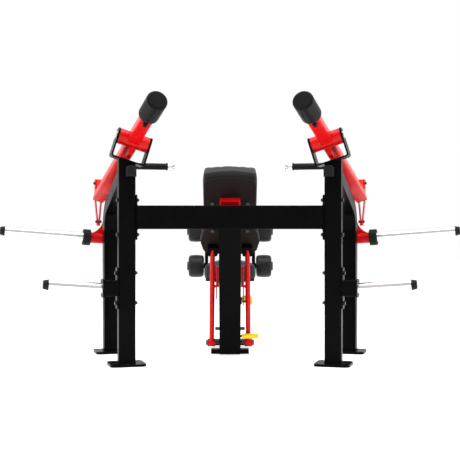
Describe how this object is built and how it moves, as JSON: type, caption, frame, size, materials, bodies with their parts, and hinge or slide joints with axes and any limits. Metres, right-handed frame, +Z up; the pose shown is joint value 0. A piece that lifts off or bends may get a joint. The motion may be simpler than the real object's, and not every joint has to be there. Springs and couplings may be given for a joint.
{
  "type": "shoulder press machine",
  "caption": "Plate-loaded shoulder press with splayed side frames, counterweighted tilting-axis arms, reclined back rest, height-adjustable seat and foam leg rollers.",
  "frame": {"origin": "on the floor, under the centre of the bounding box", "axes": "+X to the right of a user seated on the machine, +Y the way the seated user faces, +Z up"},
  "size_m": [2.3766, 1.272, 1.2442],
  "materials": {
    "frame_black": "satin",
    "frame_red": "gloss",
    "chrome": "polished",
    "bearing_steel": "satin",
    "weight_black": "satin",
    "black_bolts": "semi gloss",
    "rubber_black": "matte",
    "plastic_black": "matte",
    "yellow_grip": "gloss",
    "vinyl": "satin grain",
    "board": "textured",
    "foam": "satin"
  },
  "bodies": {
    "frame": {"front_leg_right": "frame_black", "front_leg_left": "frame_black", "yokes": "frame_black", "pivot_shafts": "chrome", "arm_bumpers": "rubber_black", "crossbeam": "frame_black", "rear_upright_right": "frame_black", "rear_upright_left": "frame_black", "frame_bolts": "black_bolts", "storage_brackets": "frame_black", "storage_horns": "chrome", "storage_horn_caps": "rubber_black", "spine": "frame_black", "spine_feet": "frame_black", "low_shaft": "black_bolts", "stop_pin": "black_bolts", "seat_socket": "frame_black", "front_post": "frame_black", "roller_frame": "frame_black"},
    "arm_right": {"press_arm_right": "frame_red", "arm_bearings_right": "bearing_steel", "counterweight_right": "weight_black", "arm_bolts_right": "black_bolts", "arm_end_plug_right": "plastic_black", "handle_bar_right": "chrome", "handle_grip_right": "rubber_black", "horn_carrier_right": "frame_red", "weight_horn_right": "chrome", "horn_rubbers_right": "rubber_black", "link_plates_right": "frame_red"},
    "arm_left": {"press_arm_left": "frame_red", "arm_bearings_left": "bearing_steel", "counterweight_left": "weight_black", "arm_bolts_left": "black_bolts", "arm_end_plug_left": "plastic_black", "handle_bar_left": "chrome", "handle_grip_left": "rubber_black", "horn_carrier_left": "frame_red", "weight_horn_left": "chrome", "horn_rubbers_left": "rubber_black", "link_plates_left": "frame_red"},
    "back_rest": {"back_board": "board", "back_cushion": "vinyl", "back_bracket": "frame_red", "back_screws": "black_bolts", "lever_rods": "frame_red", "lever_blocks": "frame_black", "index_plates": "frame_red"},
    "back_lock": {"back_pin": "black_bolts", "back_pin_knob": "yellow_grip"},
    "shaft_lock": {"lock_pin": "black_bolts", "lock_grip": "yellow_grip"},
    "seat": {"seat_cushion": "vinyl", "seat_board": "board", "seat_post": "frame_black"},
    "seat_lock": {"seat_pin": "yellow_grip"},
    "roller_lower_right": {"foam_roller_lower_right": "foam"},
    "roller_lower_left": {"foam_roller_lower_left": "foam"},
    "roller_upper_right": {"foam_roller_upper_right": "foam"},
    "roller_upper_left": {"foam_roller_upper_left": "foam"}
  },
  "joints": [
    {"name": "arm_right_press", "type": "hinge", "parent": "frame", "child": "arm_right", "pos_m": [0.45628, -0.27948, 1.05659], "axis": [0.919, -0.2549, 0.3007], "range_deg": [0, 52]},
    {"name": "arm_left_press", "type": "hinge", "parent": "frame", "child": "arm_left", "pos_m": [-0.45628, -0.27948, 1.05659], "axis": [0.919, 0.2549, -0.3007], "range_deg": [0, 52]},
    {"name": "back_rest_tilt", "type": "hinge", "parent": "frame", "child": "back_rest", "pos_m": [0, 0.142, 0.056], "axis": [-1, 0, 0], "range_deg": [0, 10]},
    {"name": "back_pin_pull", "type": "slide", "parent": "back_rest", "child": "back_lock", "axis": [1, 0, 0], "range_m": [-0.008, 0]},
    {"name": "shaft_pin_pull", "type": "slide", "parent": "frame", "child": "shaft_lock", "axis": [1, 0, 0], "range_m": [0, 0.012], "stiffness_N_per_m": 900, "springref_m": -0.004},
    {"name": "seat_height", "type": "slide", "parent": "frame", "child": "seat", "axis": [0, 0, 1], "range_m": [0, 0.08]},
    {"name": "seat_pin_pull", "type": "slide", "parent": "frame", "child": "seat_lock", "axis": [1, 0, 0], "range_m": [-0.008, 0]},
    {"name": "roller_lower_right_spin", "type": "hinge", "parent": "frame", "child": "roller_lower_right", "pos_m": [0, 0.574, 0.433], "axis": [1, 0, 0], "continuous": true},
    {"name": "roller_lower_left_spin", "type": "hinge", "parent": "frame", "child": "roller_lower_left", "pos_m": [0, 0.574, 0.433], "axis": [1, 0, 0], "continuous": true},
    {"name": "roller_upper_right_spin", "type": "hinge", "parent": "frame", "child": "roller_upper_right", "pos_m": [0, 0.574, 0.631], "axis": [1, 0, 0], "continuous": true},
    {"name": "roller_upper_left_spin", "type": "hinge", "parent": "frame", "child": "roller_upper_left", "pos_m": [0, 0.574, 0.631], "axis": [1, 0, 0], "continuous": true}
  ]
}
